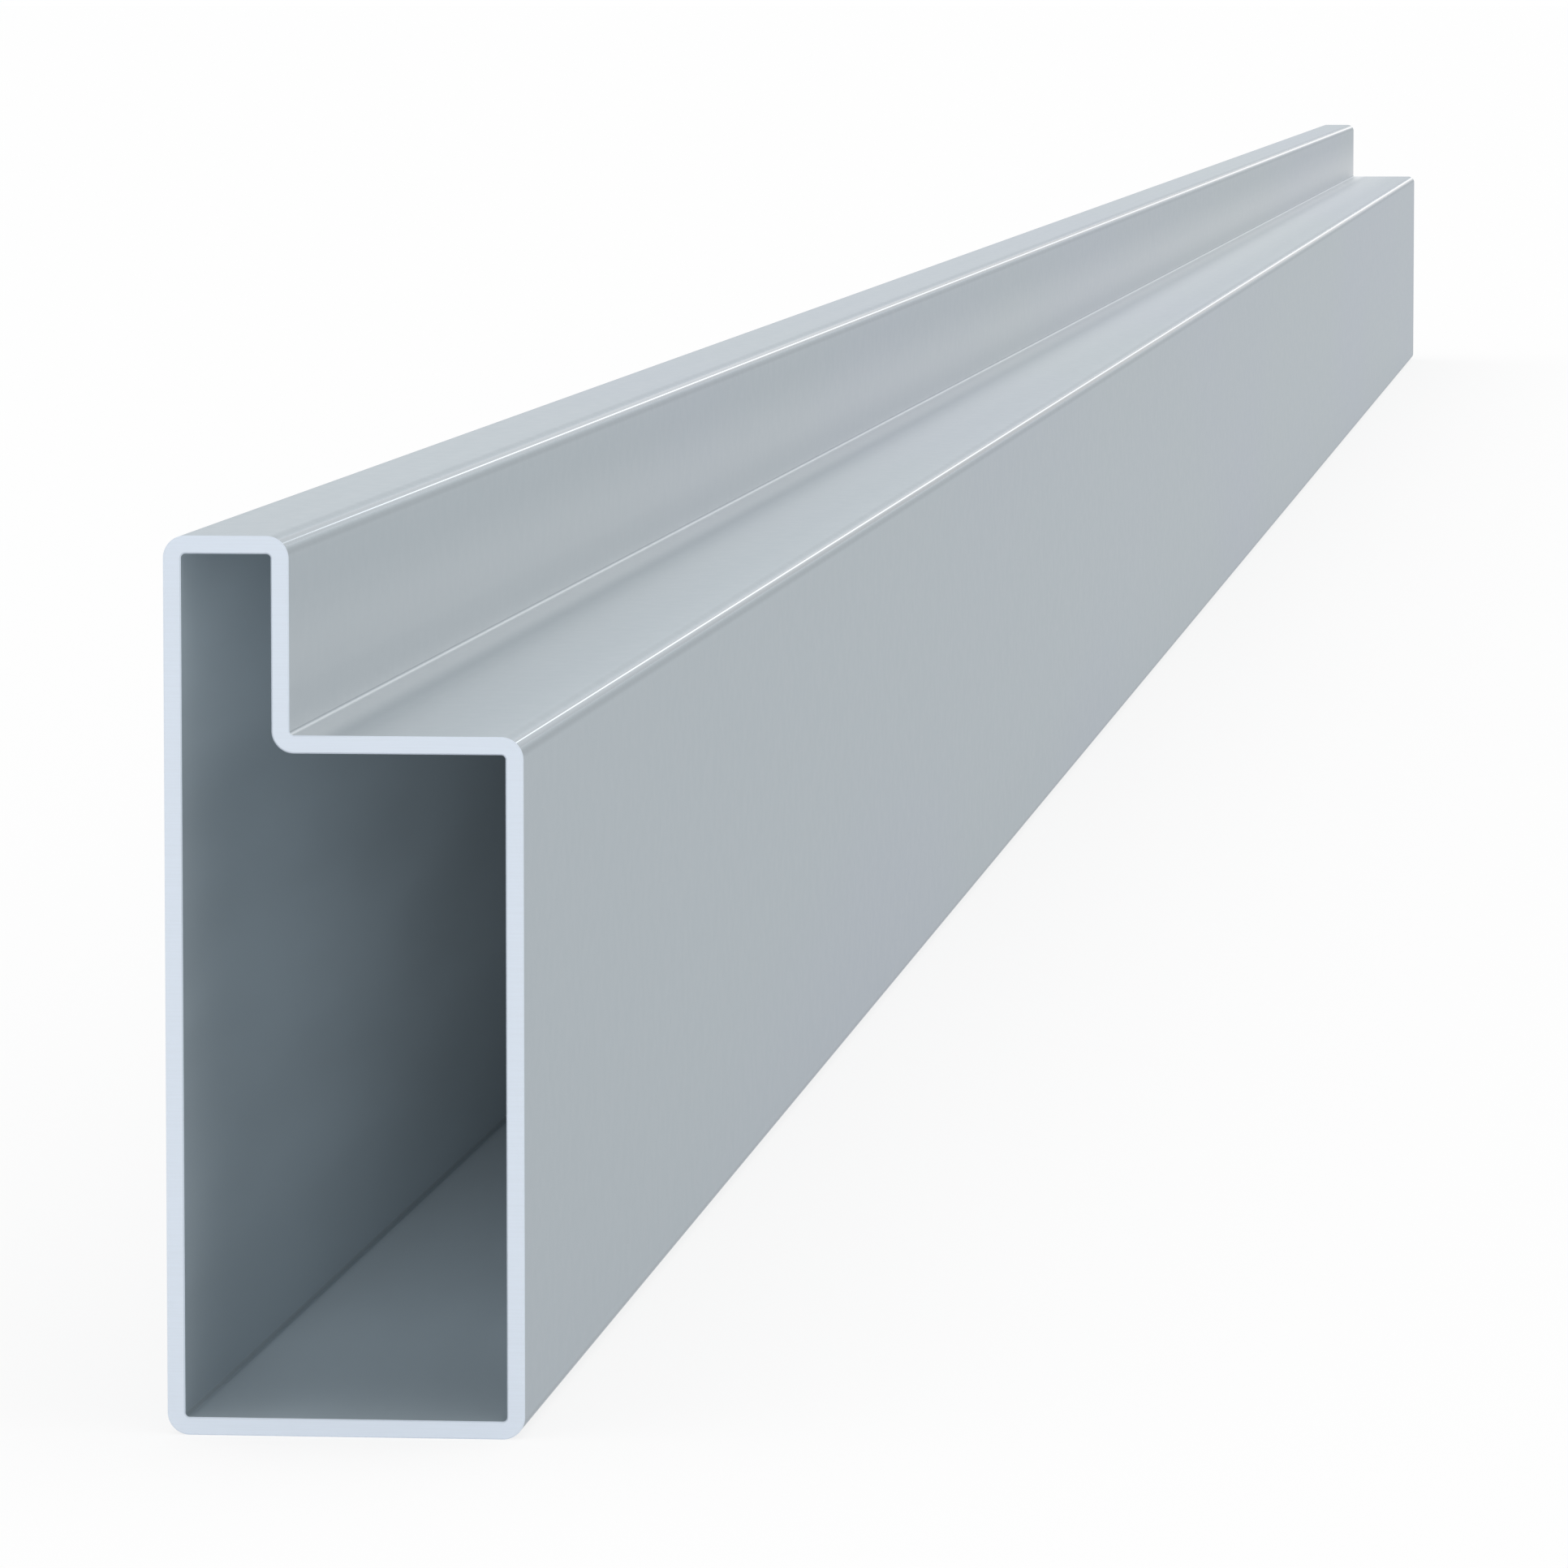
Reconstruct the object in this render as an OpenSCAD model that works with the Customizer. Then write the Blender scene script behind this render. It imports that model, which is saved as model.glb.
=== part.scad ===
// Rebated hollow section: one strip of galvanized steel, roll-formed into a closed L and cut to length.
// It lies on its base along Y, centred on the origin, with the flange at the back (-X) and the
// rebate at the top of the front (+X).

/* [Section] */
// Height from the base to the top of the flange
section_h = 100; // [60:1:200]
// Width across the base
section_w = 40; // [30:1:100]
// Width of the flange that stands up beside the rebate
flange_w = 14; // [12:0.5:20]
// Depth of the rebate below the top of the flange
rebate_d = 22; // [10:1:40]

/* [Strip] */
// Thickness of the strip, the same all round the section
wall_t = 2; // [1:0.1:3]
// Radius on the inner side of every bend
bend_r = 0.5; // [0.3:0.1:2]

/* [Stock] */
// Length that the section is cut to
stock_l = 3000; // [250:10:6500]

/* [Hidden] */
$fn = 64;

// Radius on the outer side of every bend
bend_outer_r = bend_r + wall_t;

// Heights and places of the section's sides, as seen from the end
back_x = -section_w / 2;
front_x = section_w / 2;
flange_front_x = back_x + flange_w;
rebate_floor_z = section_h - rebate_d;

// Sharp outside corners of the section, anticlockwise from the foot of the back
corners = [
    [back_x, 0],
    [front_x, 0],
    [front_x, rebate_floor_z],
    [flange_front_x, rebate_floor_z],
    [flange_front_x, section_h],
    [back_x, section_h]
];
corner_count = len(corners);

// Corner i, counted on round the outline in both directions
function corner(i) = corners[(i + corner_count) % corner_count];

// Direction of the side that runs from corner i to the next
function along(i) = (corner(i + 1) - corner(i)) / norm(corner(i + 1) - corner(i));

// Direction from that side's outside face into the section
function inward(i) = [-along(i).y, along(i).x];

// The outline turns right only in the rebate, where the strip bends the other way
function bends_outward(i) = cross(along(i - 1), along(i)) < 0;

// Radius of the outside face at corner i, which is also how far the flats stop short of that corner
function setback(i) = bends_outward(i) ? bend_r : bend_outer_r;

// Centre of both radii of the bend at corner i
function bend_centre(i) = corner(i) + setback(i) * (along(i) - along(i - 1));

// Flat stretch of strip between the bends at corner i and the next
module flat_strip(i) {
    start = corner(i) + setback(i) * along(i);
    end = corner(i + 1) - setback(i + 1) * along(i);
    through = wall_t * inward(i);
    polygon([start, end, end + through, start + through]);
}

// Quarter bend of strip at corner i, cut out of a ring by a square that reaches past it
module bend_strip(i) {
    side_before = -2 * bend_outer_r * along(i);
    side_after = 2 * bend_outer_r * along(i - 1);
    translate(bend_centre(i))
        intersection() {
            difference() {
                circle(r = bend_outer_r);
                circle(r = bend_r);
            }
            polygon([[0, 0], side_before, side_before + side_after, side_after]);
        }
}

// The strip's path round the closed section
module section_profile() {
    for (i = [0 : corner_count - 1]) {
        flat_strip(i);
        bend_strip(i);
    }
}

// The whole length of stock, cut square at both ends
module hollow_section() {
    color("#aab3b9")
        rotate([90, 0, 0])
            linear_extrude(height = stock_l, center = true)
                section_profile();
}

hollow_section();
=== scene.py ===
"""Looks of a rebated galvanized hollow section: satin zinc outside, dull zinc inside, bright cut ends."""
import math
from collections import namedtuple

import bpy
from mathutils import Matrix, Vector


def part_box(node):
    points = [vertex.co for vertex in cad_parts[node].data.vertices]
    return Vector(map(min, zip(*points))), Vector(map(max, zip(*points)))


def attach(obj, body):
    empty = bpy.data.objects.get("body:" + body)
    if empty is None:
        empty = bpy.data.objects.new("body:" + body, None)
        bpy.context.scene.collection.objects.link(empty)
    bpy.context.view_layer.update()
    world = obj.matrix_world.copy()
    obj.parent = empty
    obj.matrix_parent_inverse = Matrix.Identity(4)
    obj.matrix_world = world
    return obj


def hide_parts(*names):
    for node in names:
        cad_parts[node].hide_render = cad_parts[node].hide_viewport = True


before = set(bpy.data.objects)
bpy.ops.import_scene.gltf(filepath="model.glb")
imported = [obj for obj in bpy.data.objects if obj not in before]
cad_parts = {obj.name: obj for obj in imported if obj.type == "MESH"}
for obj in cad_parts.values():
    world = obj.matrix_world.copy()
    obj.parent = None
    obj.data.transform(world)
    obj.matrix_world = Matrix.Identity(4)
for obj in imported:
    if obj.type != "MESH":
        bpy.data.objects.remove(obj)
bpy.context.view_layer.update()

# The section's box and its own sizes in metres, as the part's source has them
LOW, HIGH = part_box("hollow_section")
FLANGE_WIDTH = 0.014
REBATE_DEPTH = 0.022
WALL = 0.002
BEND_RADIUS = 0.0005

# The cut ends' edges are broken by this much, and each bend has this many facets
DEBURR = 0.00015
BEND_STEPS = 16

# Material slots of the visible mesh, and the rows of the surface's flat map that each band of it takes
OUTSIDE, INSIDE, CUT = range(3)
MAP_ROWS = {OUTSIDE: 0.52, INSIDE: 0.34, CUT: 0.01}
MAP_GAP = 0.01

# The photograph's camera, in the part's frame
CAMERA_PLACE = Vector((0.1505, -2.5187, 0.1607))
CAMERA_AIM = Vector((0.0488, -1.5, 0.0731))
CAMERA_LENS = 215.1
SENSOR = 36.0

# How white the studio shows itself to the camera and in reflections, and the light that it gives
WHITE = (1, 1, 1, 1)
BACKDROP_WHITE = 1.0
FLOOR_REACH = 60.0
FLOOR_WHITE_SHARE = 0.8
FLOOR_COLOUR = (0.95, 0.95, 0.95, 1)
DOME_FILL = 0.4
DOME_OVERHEAD = 0.9

# Colours of the zinc and the cut steel, and the zinc's reflection at a grazing angle
ZINC_BLUE = (0.420, 0.458, 0.495, 1)
ZINC_GREEN = (0.422, 0.466, 0.486, 1)
# A pale colour that the zinc is drawn towards along the rebate's inner corner, as painted light
ZINC_PAINTED_LIGHT = (0.92, 0.94, 0.96, 1)
ZINC_EDGE = (0.730, 0.763, 0.797)
ZINC_INSIDE = (0.36, 0.42, 0.46)
STEEL = (0.70, 0.77, 0.86)

# Patterns in the surfaces: grains to a metre along X, Y and Z, then how much fine detail they have
CLOUDS = ((9.0, 2.5, 9.0), 1.0)
ROLL_LINES = ((700.0, 0.7, 700.0), 1.0)
GRAIN = ((420.0, 300.0, 420.0), 2.0)
BLOOM = ((60.0, 8.0, 60.0), 4.0)
SAW_LINES = ((120.0, 120.0, 5000.0), 3.0)

# Between these values lies most of a pattern, and the change from one tint of the clouds to the other
PATTERN_RANGE = (0.3, 0.7)
CLOUD_EDGE = (0.35, 0.65)

# How far the patterns lighten and darken the outer zinc and the steel, and the zinc inside
MOTTLE = 0.015
INSIDE_MOTTLE = 0.03

# Roughness of each surface, and what the roll lines add to it or take from it
ZINC_ROUGHNESS = (0.33, 0.37)
ROLL_ROUGHNESS = 0.01
INSIDE_ROUGHNESS = (0.55, 0.65)
STEEL_ROUGHNESS = (0.42, 0.5)

# How metallic the dull inside and the sawn steel are, and how much the inside shines
INSIDE_METALLIC = 0.3
INSIDE_SPECULAR = 0.2
STEEL_METALLIC = 0.6

# Fine relief: the grain's share beside the roll lines, then strength and depth on the zinc and the steel
GRAIN_RELIEF = 0.5
ZINC_RELIEF = 0.02
ZINC_RELIEF_DEPTH = 0.0002
SAW_RELIEF = 0.05
SAW_RELIEF_DEPTH = 0.0001

# The rebate's floor and the flange beside it are lightened along their inner corner, which is painted
# light standing in for reflected light, with a strip on the floor that has more: the share of it on each,
# the distances from the corner where each starts and ends to fade, what the corner's own bend loses of it,
# and how much of it the base colour takes
FLOOR_PAINTED_LIGHT = 0.24
FLOOR_FADE = (0.008, 0.020)
FLANGE_PAINTED_LIGHT = 0.57
FLANGE_FADE = (0.0, 0.018)
STRIP_PAINTED_LIGHT = 0.48
STRIP_FADE = (0.0025, 0.006)
CORNER_DIM = 0.65
BASE_PAINTED_LIGHT = 0.5

# The upper half of that bend has none of the painted light: how far into the bend, and how squarely to +X,
# that starts and is whole
CORNER_BEND = (0.15, 0.45)
CORNER_UPPER = (0.72, 0.85)

# The middle of each outer bend is burnished: where that starts and is whole, its roughness, and how much
# painted shade dims the zinc there at a grazing angle, holding down its smoother reflection of the sky
LINE_EDGE = (0.88, 0.95)
LINE_ROUGHNESS = 0.06
LINE_SHADE = 0.25

# Each bend is darkened on both sides of its middle as painted shade: where that rises and falls, by how
# much it is darker beside the level flat and beside the upright one, and how squarely to X the one becomes
# the other
BEND_RISE = (0.15, 0.55)
BEND_FALL = (0.7, 0.9)
BEND_SHADE = (0.05, 0.08)
BEND_SIDE = (0.5, 0.85)

# The inner bends are darkened too, as painted shade: where that starts and is whole, and the tone that is
# left
INSIDE_BEND = (0.3, 0.95)
INSIDE_BEND_SHADE_TONE = 0.8

# A bright panel low in the sky beyond each end: the light that it adds, and where its soft foot, top
# and sides start and end, as parts of a direction's height and width
PANEL_LIGHT = 0.38
PANEL_FOOT = (0.06, 0.12)
PANEL_TOP = (0.38, 0.48)
PANEL_SIDE = (0.22, 0.34)

# A slim light in front of each panel, which the burnished bends mirror as a line: how bright it is for
# each part of height, how far it leans to +X, and where its soft edge and its soft top start and end
TUBE_LIGHT = 11.5
TUBE_LEAN = 0.47
TUBE_EDGE = (0.006, 0.012)
TUBE_TOP = (0.132, 0.157)

# An area lamp's watts to a square metre that make it as bright as white paper
WATTS_FOR_WHITE = 4.0

# Weak light inside each mouth: its brightness in the main chamber and in the flange, its share of that
# at the mouth itself, the depth where it is whole, how fast it fades, its length and its gap from the
# walls
FILL_RADIANCE = 0.46
FLANGE_FILL_RADIANCE = 0.25
FILL_AT_MOUTH = 0.3
FLANGE_FILL_AT_MOUTH = 1.7
FILL_RISE = 0.075
FILL_FADE = 0.2
FILL_LENGTH = 0.6
FILL_GAP = 0.0005

Corners = namedtuple("Corners", "back_foot front_foot front inner flange_front back_top")


def section_corners():
    """The section's sharp outside corners in the X-Z plane, anticlockwise from the foot of the back."""
    flange_front = LOW.x + FLANGE_WIDTH
    rebate_floor = HIGH.z - REBATE_DEPTH
    return Corners(
        back_foot=Vector((LOW.x, LOW.z)),
        front_foot=Vector((HIGH.x, LOW.z)),
        front=Vector((HIGH.x, rebate_floor)),
        inner=Vector((flange_front, rebate_floor)),
        flange_front=Vector((flange_front, HIGH.z)),
        back_top=Vector((LOW.x, HIGH.z)),
    )


def strip_loop(depth):
    """Points round the section at that depth below the outside face, each with its outward direction."""
    corners = section_corners()
    loop = []
    for i, corner in enumerate(corners):
        before = (corner - corners[i - 1]).normalized()
        after = (corners[(i + 1) % len(corners)] - corner).normalized()
        opens = before.x * after.y - before.y * after.x < 0
        setback = BEND_RADIUS if opens else BEND_RADIUS + WALL
        centre = corner + setback * (after - before)
        radius = setback + depth if opens else setback - depth
        for step in range(BEND_STEPS + 1):
            turn = math.pi / 2 * step / BEND_STEPS
            spoke = math.sin(turn) * before - math.cos(turn) * after
            loop.append((centre + radius * spoke, -spoke if opens else spoke))
    return loop


def shares_round(loop):
    """How far round a closed loop each of its points lies, from 0 to 1 where the loop closes."""
    lengths = [(place - loop[i - 1]).length for i, place in enumerate(loop)]
    steps = lengths[1:] + lengths[:1]
    return [sum(steps[:i]) / sum(steps) for i in range(len(steps) + 1)]


def section_mesh():
    """The whole length as one closed mesh with true normals on flats, bends, ends and broken edges."""
    # Each ring round the section: depth below the outside face, place along Y
    rings = [
        (0, LOW.y + DEBURR),
        (0, HIGH.y - DEBURR),
        (DEBURR, HIGH.y),
        (WALL - DEBURR, HIGH.y),
        (WALL, HIGH.y - DEBURR),
        (WALL, LOW.y + DEBURR),
        (WALL - DEBURR, LOW.y),
        (DEBURR, LOW.y),
    ]
    # Each band from a ring to the next: its material, and its normal's shares outward and along Y
    slant = math.sqrt(0.5)
    bands = [
        (OUTSIDE, 1, 0),
        (CUT, slant, slant),
        (CUT, 0, 1),
        (CUT, -slant, slant),
        (INSIDE, -1, 0),
        (CUT, -slant, -slant),
        (CUT, 0, -1),
        (CUT, slant, -slant),
    ]
    points, faces, slots, normals, flat_places = [], [], [], [], []
    for depth, y in rings:
        points += [(place.x, y, place.y) for place, outward in strip_loop(depth)]
    outwards = [outward for place, outward in strip_loop(0)]
    count = len(outwards)
    around = shares_round([place for place, outward in strip_loop(0)])
    row = MAP_GAP / 2
    for ring, (slot, share_out, share_along) in enumerate(bands):
        start = ring * count
        following = (ring + 1) % len(rings) * count
        for here in range(count):
            there = (here + 1) % count
            faces.append((start + here, following + here, following + there, start + there))
            slots.append(slot)
            for corner in (here, here, there, there):
                outward = share_out * outwards[corner]
                normals.append((outward.x, share_along, outward.y))
            for corner, across in ((here, 0), (here, 1), (here + 1, 1), (here + 1, 0)):
                turned = (around[corner], across) if slot == CUT else (across, around[corner])
                flat_places += [turned[0], row + MAP_ROWS[slot] * turned[1]]
        row += MAP_ROWS[slot] + MAP_GAP
    mesh = bpy.data.meshes.new("galvanized_section")
    mesh.from_pydata(points, [], faces)
    mesh.uv_layers.new(name="OFBake").uv.foreach_set("vector", flat_places)
    mesh.polygons.foreach_set("material_index", slots)
    mesh.polygons.foreach_set("use_smooth", [True] * len(faces))
    mesh.normals_split_custom_set(normals)
    mesh.update()
    return mesh


class Nodes:
    """A material's, a lamp's or the world's node tree, with short calls to add and link nodes."""

    def __init__(self, owner):
        owner.use_nodes = True
        self.owner = owner
        self.tree = owner.node_tree

    def add(self, kind, inputs=None, **settings):
        """A new node; each input is a value or another node's output."""
        node = self.tree.nodes.new(kind)
        for key, value in settings.items():
            setattr(node, key, value)
        for key, value in (inputs or {}).items():
            self.set(node.inputs[key], value)
        return node

    def set(self, socket, value):
        """Give a socket a value, or link another node's output to it."""
        if isinstance(value, bpy.types.NodeSocket):
            self.tree.links.new(value, socket)
        else:
            socket.default_value = value

    def math(self, operation, *values):
        """The result of one sum."""
        return self.add("ShaderNodeMath", dict(enumerate(values)), operation=operation).outputs[0]

    def rest(self, share):
        """What a share leaves of 1."""
        return self.math("SUBTRACT", 1.0, share)

    def coordinate(self, kind):
        """The surface's own "Object" place or "Normal", or the sky's "Generated" direction."""
        return self.add("ShaderNodeTexCoord").outputs[kind]

    def parts(self, vector):
        """A vector's "X", "Y" and "Z"."""
        return self.add("ShaderNodeSeparateXYZ", {"Vector": vector}).outputs

    def noise(self, place, scale, detail):
        """Soft noise from 0 to 1, with its own number of grains to a metre along X, Y and Z."""
        stretched = self.add("ShaderNodeVectorMath", {0: place, 1: scale}, operation="MULTIPLY")
        inputs = {"Vector": stretched.outputs[0], "Scale": 1.0, "Detail": detail}
        return self.add("ShaderNodeTexNoise", inputs).outputs["Fac"]

    def spread(self, value, low, high, to_low, to_high):
        """A value between two limits drawn out smoothly to two others."""
        inputs = {"Value": value, "From Min": low, "From Max": high, "To Min": to_low, "To Max": to_high}
        return self.add("ShaderNodeMapRange", inputs, interpolation_type="SMOOTHSTEP").outputs["Result"]

    def vary(self, pattern, low, high):
        """A pattern of noise drawn out between two values."""
        return self.spread(pattern, *PATTERN_RANGE, low, high)

    def window(self, value, rise, fall):
        """1 between two pairs of limits, rising softly over the first and falling over the second."""
        risen = self.spread(value, *rise, 0.0, 1.0)
        return self.math("MULTIPLY", risen, self.spread(value, *fall, 1.0, 0.0))

    def blend(self, share, first, second):
        """A colour between two others."""
        node = self.add("ShaderNodeMix", {"Factor": share}, data_type="RGBA")
        sockets = [socket for socket in node.inputs if socket.type == "RGBA"]
        self.set(sockets[0], first)
        self.set(sockets[1], second)
        return [socket for socket in node.outputs if socket.type == "RGBA"][0]

    def scale_colour(self, colour, amount):
        """A colour made lighter or darker."""
        return self.add("ShaderNodeVectorMath", {0: colour, "Scale": amount}, operation="SCALE").outputs[0]

    def bump(self, shader, height, strength, depth):
        """Fine relief on a shader's surface."""
        node = self.add("ShaderNodeBump", {"Height": height, "Strength": strength, "Distance": depth})
        self.set(shader.inputs["Normal"], node.outputs["Normal"])

    def bend_share(self, facing):
        """How near a bend's surface is to facing halfway between its two flats, from 0 to 1: the sine of
        twice its turn from either flat."""
        product = self.math("MULTIPLY", facing["X"], facing["Z"])
        return self.math("ABSOLUTE", self.math("MULTIPLY", product, 2.0))

    def background_seen(self):
        """1 where the camera, a reflection or a refraction looks at this, 0 where it gives light."""
        path = self.add("ShaderNodeLightPath").outputs
        mirrored = self.math("MAXIMUM", path["Is Glossy Ray"], path["Is Transmission Ray"])
        return self.math("MAXIMUM", path["Is Camera Ray"], mirrored)


def zinc_outside():
    """Satin zinc with cloudy tints, faint roll lines and grain, burnished smooth by the rolls along the
    middle of its outer bends, with painted light along the rebate's inner corner and painted shade beside
    each bend.
    """
    nodes = Nodes(bpy.data.materials.new("zinc_outside"))
    shader = nodes.tree.nodes["Principled BSDF"]
    place = nodes.coordinate("Object")
    spot = nodes.parts(place)
    facing = nodes.parts(nodes.coordinate("Normal"))
    bend = nodes.bend_share(facing)
    inner = section_corners().inner

    # Nearness to the rebate's inner corner, on its floor and on the flange beside it
    from_flange = nodes.math("SUBTRACT", spot["X"], inner.x)
    from_floor = nodes.math("SUBTRACT", spot["Z"], inner.y)
    nearest = nodes.math("MINIMUM", from_flange, from_floor)
    in_rebate = nodes.math("GREATER_THAN", nearest, -BEND_RADIUS)
    away = nodes.math("MAXIMUM", from_flange, from_floor)
    strip = nodes.math("MULTIPLY", nodes.spread(away, *STRIP_FADE, 1.0, 0.0), in_rebate)

    # Painted light: the flats beside that corner and the lower half of its bend are lightened, standing in
    # for reflected light
    wide = nodes.spread(away, *FLOOR_FADE, FLOOR_PAINTED_LIGHT, 0.0)
    on_floor = nodes.math("MULTIPLY_ADD", strip, STRIP_PAINTED_LIGHT, wide)
    on_flange = nodes.math("MULTIPLY", facing["X"], nodes.spread(away, *FLANGE_FADE, FLANGE_PAINTED_LIGHT, 0.0))
    on_both = nodes.math("MULTIPLY_ADD", facing["Z"], on_floor, on_flange)
    on_flats = nodes.math("MULTIPLY", on_both, in_rebate)
    dimmed = nodes.math("MULTIPLY", on_flats, nodes.math("MULTIPLY_ADD", bend, -CORNER_DIM, 1.0))
    on_bend = nodes.math("MULTIPLY", nodes.spread(bend, *CORNER_BEND, 0.0, 1.0), strip)
    missed = nodes.math("MULTIPLY", nodes.spread(facing["X"], *CORNER_UPPER, 0.0, 1.0), on_bend)
    corner_painted_light = nodes.math("MULTIPLY", dimmed, nodes.rest(missed))

    # The rolls burnish a line along the middle of each outer bend, and painted shade darkens the bend on
    # both sides of it
    line_share = nodes.math("MULTIPLY", nodes.spread(bend, *LINE_EDGE, 0.0, 1.0), nodes.rest(strip))
    painted_shade_depth = nodes.spread(nodes.math("ABSOLUTE", facing["X"]), *BEND_SIDE, *BEND_SHADE)
    painted_bend_shade = nodes.rest(nodes.math("MULTIPLY", nodes.window(bend, BEND_RISE, BEND_FALL), painted_shade_depth))

    clouds = nodes.noise(place, *CLOUDS)
    roll_lines = nodes.noise(place, *ROLL_LINES)
    grain = nodes.noise(place, *GRAIN)

    tint = nodes.blend(nodes.spread(clouds, *CLOUD_EDGE, 0.0, 1.0), ZINC_BLUE, ZINC_GREEN)
    grainy = nodes.vary(grain, 1 - MOTTLE, 1 + MOTTLE)
    mottle = nodes.math("ADD", nodes.vary(roll_lines, -MOTTLE, MOTTLE), grainy)
    # Painted shade darkens the base colour on both sides of each bend's middle
    base = nodes.scale_colour(tint, nodes.math("MULTIPLY", mottle, painted_bend_shade))
    # Painted light lightens the base colour along the rebate's inner corner
    base = nodes.blend(nodes.math("MULTIPLY", corner_painted_light, BASE_PAINTED_LIGHT), base, ZINC_PAINTED_LIGHT)
    nodes.set(shader.inputs["Base Color"], base)

    # Painted shade dims the grazing reflection on both sides of each bend's middle and along its smoother
    # line
    edge = nodes.scale_colour(ZINC_EDGE, nodes.math("MULTIPLY_ADD", line_share, -LINE_SHADE, painted_bend_shade))
    # Painted light also whitens the zinc's grazing reflection along that corner
    edge = nodes.blend(corner_painted_light, edge, WHITE)
    nodes.set(shader.inputs["Specular Tint"], edge)

    rolled = nodes.vary(roll_lines, -ROLL_ROUGHNESS, ROLL_ROUGHNESS)
    rough = nodes.math("ADD", nodes.vary(grain, *ZINC_ROUGHNESS), rolled)
    smoother = nodes.math("MULTIPLY", line_share, nodes.math("SUBTRACT", rough, LINE_ROUGHNESS))
    nodes.set(shader.inputs["Roughness"], nodes.math("SUBTRACT", rough, smoother))
    shader.inputs["Metallic"].default_value = 1.0

    relief = nodes.math("MULTIPLY_ADD", grain, GRAIN_RELIEF, roll_lines)
    worn = nodes.math("MULTIPLY_ADD", line_share, -ZINC_RELIEF, ZINC_RELIEF)
    nodes.bump(shader, relief, worn, ZINC_RELIEF_DEPTH)
    return nodes.owner


def zinc_inside():
    """Duller zinc with a soft grey bloom, and painted shade darkening the tight inner bends."""
    nodes = Nodes(bpy.data.materials.new("zinc_inside"))
    shader = nodes.tree.nodes["Principled BSDF"]
    bloom = nodes.noise(nodes.coordinate("Object"), *BLOOM)
    bend = nodes.bend_share(nodes.parts(nodes.coordinate("Normal")))
    base = nodes.scale_colour(ZINC_INSIDE, nodes.vary(bloom, 1 - INSIDE_MOTTLE, 1 + INSIDE_MOTTLE))
    # Painted shade darkens the tight inner bends
    base = nodes.scale_colour(base, nodes.spread(bend, *INSIDE_BEND, 1.0, INSIDE_BEND_SHADE_TONE))
    nodes.set(shader.inputs["Base Color"], base)
    nodes.set(shader.inputs["Roughness"], nodes.vary(bloom, *INSIDE_ROUGHNESS))
    shader.inputs["Metallic"].default_value = INSIDE_METALLIC
    shader.inputs["Specular IOR Level"].default_value = INSIDE_SPECULAR
    return nodes.owner


def cut_steel():
    """Bare steel of the sawn ends, with the saw's fine lines across it."""
    nodes = Nodes(bpy.data.materials.new("cut_steel"))
    shader = nodes.tree.nodes["Principled BSDF"]
    saw_lines = nodes.noise(nodes.coordinate("Object"), *SAW_LINES)
    base = nodes.scale_colour(STEEL, nodes.vary(saw_lines, 1 - MOTTLE, 1 + MOTTLE))
    nodes.set(shader.inputs["Base Color"], base)
    nodes.set(shader.inputs["Roughness"], nodes.vary(saw_lines, *STEEL_ROUGHNESS))
    shader.inputs["Metallic"].default_value = STEEL_METALLIC
    nodes.bump(shader, saw_lines, SAW_RELIEF, SAW_RELIEF_DEPTH)
    return nodes.owner


def build_section():
    """The visible length of stock, which stands for the CAD solid."""
    mesh = section_mesh()
    mesh.materials.append(zinc_outside())
    mesh.materials.append(zinc_inside())
    mesh.materials.append(cut_steel())
    piece = bpy.data.objects.new("galvanized_section", mesh)
    bpy.context.scene.collection.objects.link(piece)
    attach(piece, "root")
    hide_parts("hollow_section")
    return piece


def build_floor():
    """A wide white floor, which is mostly white of its own to the eye and keeps a soft shadow."""
    mesh = bpy.data.meshes.new("floor")
    corners = [(FLOOR_REACH * x, FLOOR_REACH * y, 0) for x, y in ((-1, -1), (1, -1), (1, 1), (-1, 1))]
    mesh.from_pydata(corners, [], [(0, 1, 2, 3)])
    nodes = Nodes(bpy.data.materials.new("floor_paper"))
    nodes.tree.nodes.remove(nodes.tree.nodes["Principled BSDF"])
    paper = nodes.add("ShaderNodeBsdfDiffuse", {"Color": FLOOR_COLOUR}).outputs["BSDF"]
    white = nodes.add("ShaderNodeEmission", {"Strength": BACKDROP_WHITE}).outputs["Emission"]
    share = nodes.math("MULTIPLY", nodes.background_seen(), FLOOR_WHITE_SHARE)
    mixed = nodes.add("ShaderNodeMixShader", {"Fac": share, 1: paper, 2: white})
    nodes.set(nodes.tree.nodes["Material Output"].inputs["Surface"], mixed.outputs["Shader"])
    nodes.owner.cycles.emission_sampling = "NONE"
    mesh.materials.append(nodes.owner)
    floor = bpy.data.objects.new("floor", mesh)
    bpy.context.scene.collection.objects.link(floor)


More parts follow.
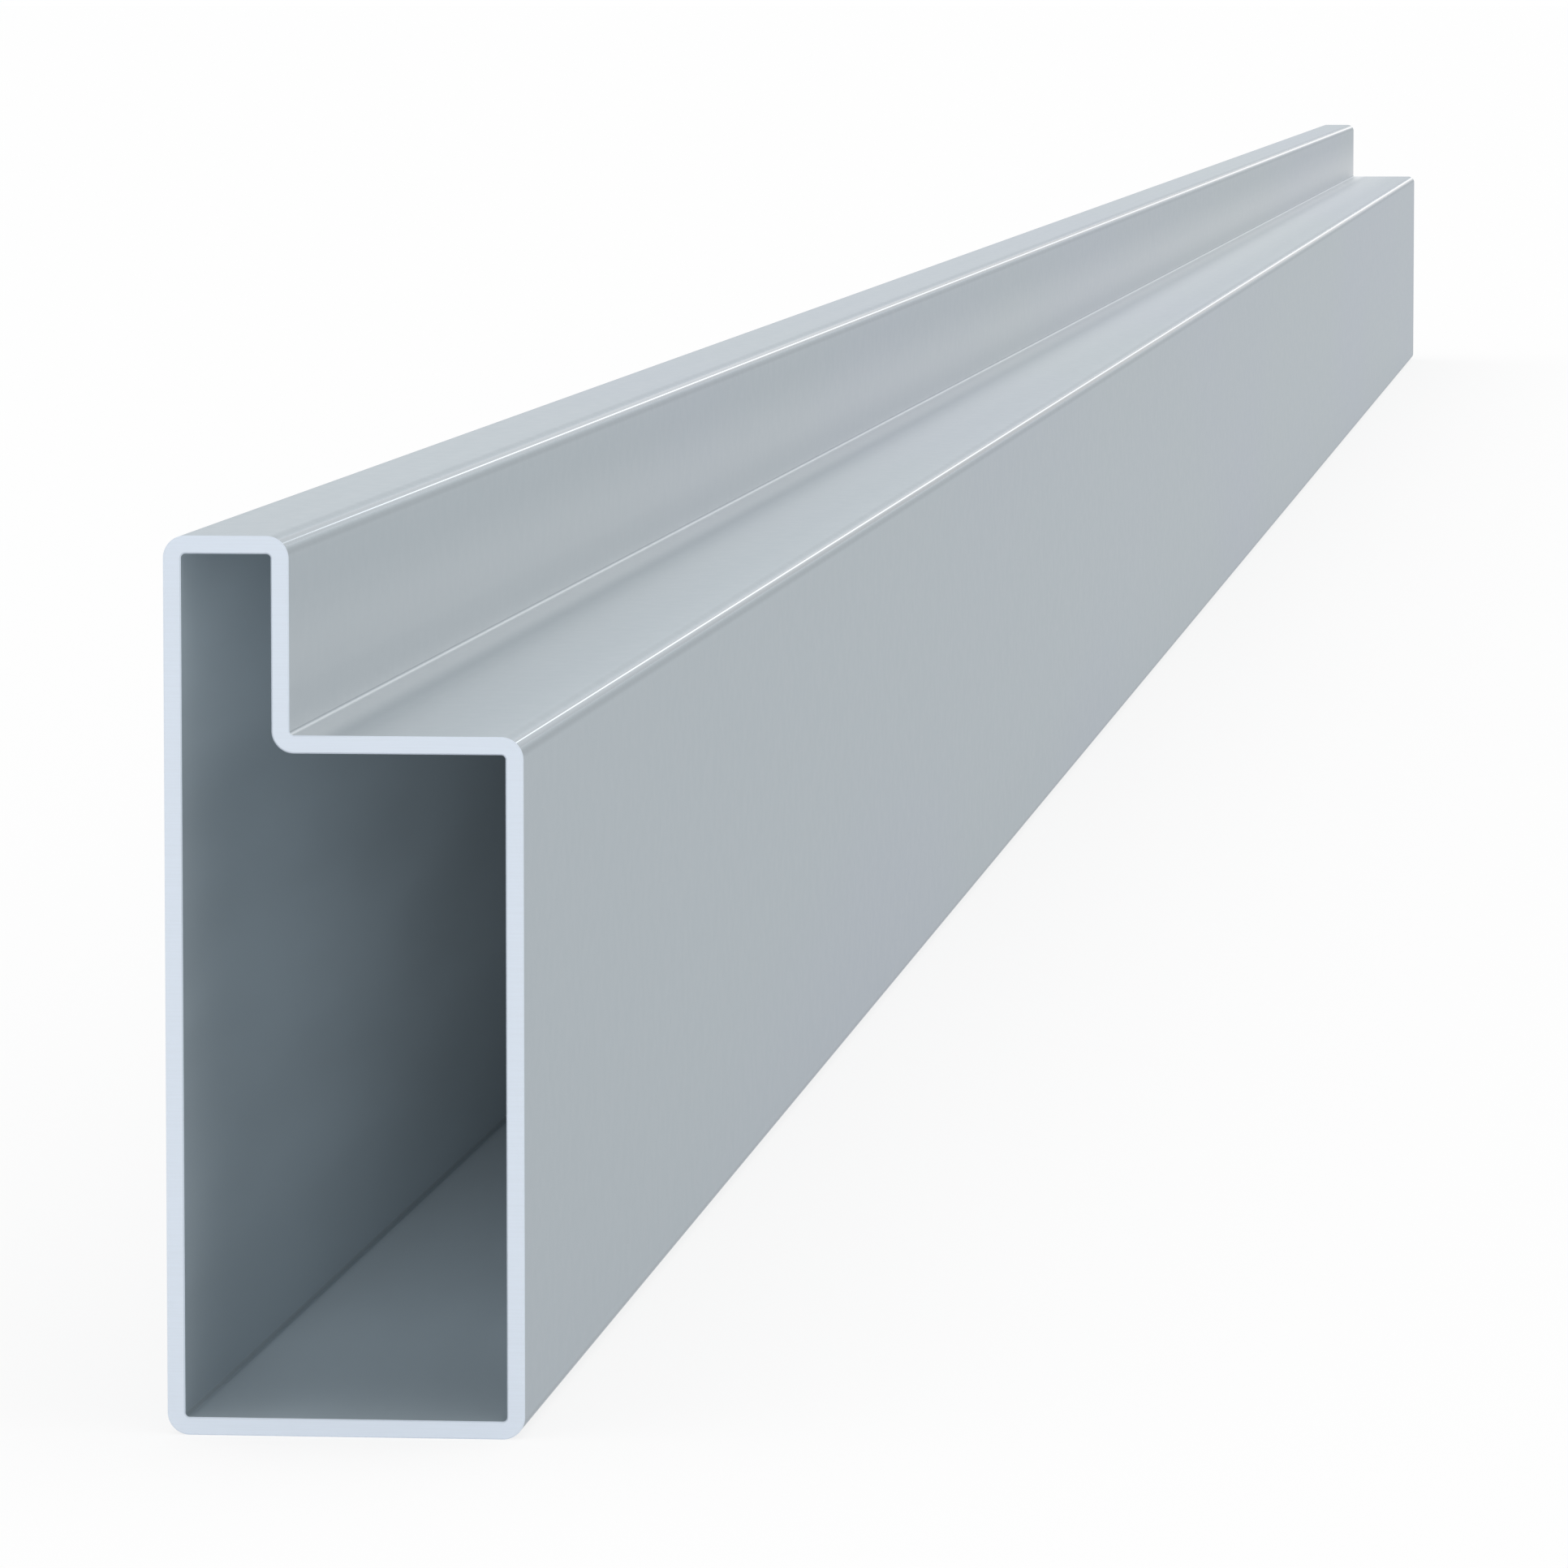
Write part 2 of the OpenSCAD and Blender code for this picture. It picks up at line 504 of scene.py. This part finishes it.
def build_world():
    """White all round to the eye and in reflections; as light, a soft dome that is brightest overhead.
    To all but the eye, a soft panel and a slim light beyond each end of the section add to both."""
    nodes = Nodes(bpy.data.worlds.new("studio"))
    background = nodes.tree.nodes["Background"]
    background.inputs["Color"].default_value = WHITE
    toward = nodes.parts(nodes.coordinate("Generated"))
    height = nodes.math("MAXIMUM", toward["Z"], 0.0)
    dome = nodes.math("MULTIPLY_ADD", height, DOME_OVERHEAD, DOME_FILL)
    seen = nodes.background_seen()
    light = nodes.math("MULTIPLY", dome, nodes.rest(seen))
    plain = nodes.math("MULTIPLY_ADD", seen, BACKDROP_WHITE, light)

    aside = nodes.spread(nodes.math("ABSOLUTE", toward["X"]), *PANEL_SIDE, 1.0, 0.0)
    panel = nodes.math("MULTIPLY", nodes.window(toward["Z"], PANEL_FOOT, PANEL_TOP), aside)
    from_tube = nodes.math("ABSOLUTE", nodes.math("MULTIPLY_ADD", toward["Z"], -TUBE_LEAN, toward["X"]))
    tube = nodes.math("MULTIPLY", nodes.spread(from_tube, *TUBE_EDGE, TUBE_LIGHT, 0.0), height)
    tube = nodes.math("MULTIPLY", tube, nodes.spread(toward["Z"], *TUBE_TOP, 1.0, 0.0))
    added = nodes.math("MULTIPLY_ADD", panel, PANEL_LIGHT, tube)
    unseen = nodes.rest(nodes.add("ShaderNodeLightPath").outputs["Is Camera Ray"])
    nodes.set(background.inputs["Strength"], nodes.math("MULTIPLY_ADD", added, unseen, plain))
    nodes.owner.cycles.sampling_method = "NONE"
    bpy.context.scene.world = nodes.owner


def add_fill(name, place, direction, height, radiance, at_mouth, lit):
    """A strip inside a mouth whose light fades with the depth and falls on the section alone."""
    data = bpy.data.lights.new(name, "AREA")
    data.shape = "RECTANGLE"
    data.size = FILL_LENGTH
    data.size_y = height
    data.energy = radiance * WATTS_FOR_WHITE * FILL_LENGTH * height
    nodes = Nodes(data)
    spot = nodes.parts(nodes.add("ShaderNodeNewGeometry").outputs["Position"])
    depth = nodes.math("SUBTRACT", HIGH.y, nodes.math("ABSOLUTE", spot["Y"]))
    fading = nodes.math("EXPONENT", nodes.math("DIVIDE", depth, -FILL_FADE))
    rising = nodes.spread(depth, 0.0, FILL_RISE, at_mouth, 1.0)
    nodes.set(nodes.tree.nodes["Emission"].inputs["Strength"], nodes.math("MULTIPLY", rising, fading))
    lamp = bpy.data.objects.new(name, data)
    lamp.location = place
    lamp.rotation_euler = direction.to_track_quat("-Z", "Y").to_euler()
    lamp.visible_camera = False
    lamp.visible_glossy = False
    lamp.light_linking.receiver_collection = lit
    bpy.context.scene.collection.objects.link(lamp)


def build_inside_fill(section):
    """At both mouths, strips along the walls of the main chamber and of the flange, facing across them."""
    lit = bpy.data.collections.new("lit_inside")
    lit.objects.link(section)
    corners = section_corners()
    inset = WALL + FILL_GAP
    front = corners.front.x - inset
    back = corners.back_foot.x + inset
    flange_front = corners.flange_front.x - inset
    base = LOW.z + inset
    rebate_floor = corners.inner.y
    top = HIGH.z - inset
    # Each strip: place across the section, its lower and upper ends, the way it faces, its brightness
    # and the share of that at the mouth
    strips = [
        (front, base, rebate_floor - inset, -1, FILL_RADIANCE, FILL_AT_MOUTH),
        (back, base, top, 1, FILL_RADIANCE, FILL_AT_MOUTH),
        (flange_front, rebate_floor, top, -1, FLANGE_FILL_RADIANCE, FLANGE_FILL_AT_MOUTH),
    ]
    for end in (-1, 1):
        middle = end * (HIGH.y - FILL_LENGTH / 2)
        for i, (x, lower, upper, side, radiance, at_mouth) in enumerate(strips):
            place = Vector((x, middle, (lower + upper) / 2))
            add_fill(f"fill_{end}_{i}", place, Vector((side, 0, 0)), upper - lower, radiance, at_mouth, lit)


def build_camera():
    """The photograph's camera."""
    data = bpy.data.cameras.new("camera")
    data.lens = CAMERA_LENS
    data.sensor_width = SENSOR
    camera = bpy.data.objects.new("camera", data)
    camera.location = CAMERA_PLACE
    camera.rotation_euler = (CAMERA_AIM - CAMERA_PLACE).to_track_quat("-Z", "Y").to_euler()
    bpy.context.scene.collection.objects.link(camera)
    bpy.context.scene.camera = camera


build_floor()
build_world()
build_inside_fill(build_section())
build_camera()
bpy.context.scene.view_settings.view_transform = "Standard"
